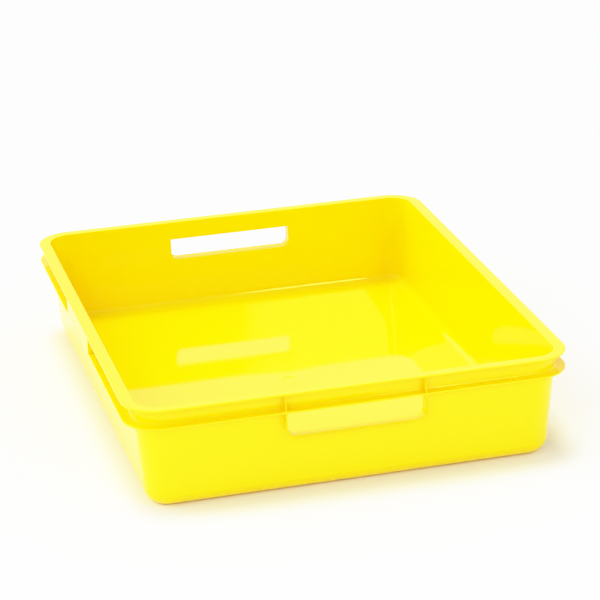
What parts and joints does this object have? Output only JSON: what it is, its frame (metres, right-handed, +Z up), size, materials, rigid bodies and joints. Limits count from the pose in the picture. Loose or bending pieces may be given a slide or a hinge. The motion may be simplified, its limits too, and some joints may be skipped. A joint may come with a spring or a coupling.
{
  "type": "developing tray",
  "caption": "Open rectangular darkroom tray with drafted walls, a flat rim over a second flange, a lipped hand slot in each end and label panels on the long sides.",
  "frame": {"origin": "middle of the footprint, on the surface the tray stands on", "axes": "+Z up, X along the short ends with the hand slots, Y along the long sides, front end towards -Y"},
  "size_m": [0.42, 0.504, 0.102],
  "materials": {
    "tray_plastic": "glossy injection-moulded polypropylene, yellow right through"
  },
  "bodies": {
    "root": {"floor_panel": "tray_plastic", "bottom_edge_front": "tray_plastic", "bottom_edge_right": "tray_plastic", "bottom_edge_rear": "tray_plastic", "bottom_edge_left": "tray_plastic", "bottom_corner_front_left": "tray_plastic", "bottom_corner_front_right": "tray_plastic", "bottom_corner_rear_left": "tray_plastic", "bottom_corner_rear_right": "tray_plastic", "front_wall": "tray_plastic", "right_wall": "tray_plastic", "rear_wall": "tray_plastic", "left_wall": "tray_plastic", "front_left_wall_corner": "tray_plastic", "front_right_wall_corner": "tray_plastic", "rear_left_wall_corner": "tray_plastic", "rear_right_wall_corner": "tray_plastic", "lower_flange_front": "tray_plastic", "lower_flange_right": "tray_plastic", "lower_flange_rear": "tray_plastic", "lower_flange_left": "tray_plastic", "lower_flange_corner_front_left": "tray_plastic", "lower_flange_corner_front_right": "tray_plastic", "lower_flange_corner_rear_left": "tray_plastic", "lower_flange_corner_rear_right": "tray_plastic", "top_rim_front": "tray_plastic", "top_rim_right": "tray_plastic", "top_rim_rear": "tray_plastic", "top_rim_left": "tray_plastic", "top_rim_corner_front_left": "tray_plastic", "top_rim_corner_front_right": "tray_plastic", "top_rim_corner_rear_left": "tray_plastic", "top_rim_corner_rear_right": "tray_plastic", "front_handle_lip": "tray_plastic", "front_handle_rib_left": "tray_plastic", "front_handle_rib_right": "tray_plastic", "rear_handle_lip": "tray_plastic", "rear_handle_rib_left": "tray_plastic", "rear_handle_rib_right": "tray_plastic", "left_label_panel": "tray_plastic", "right_label_panel": "tray_plastic"}
  },
  "joints": []
}
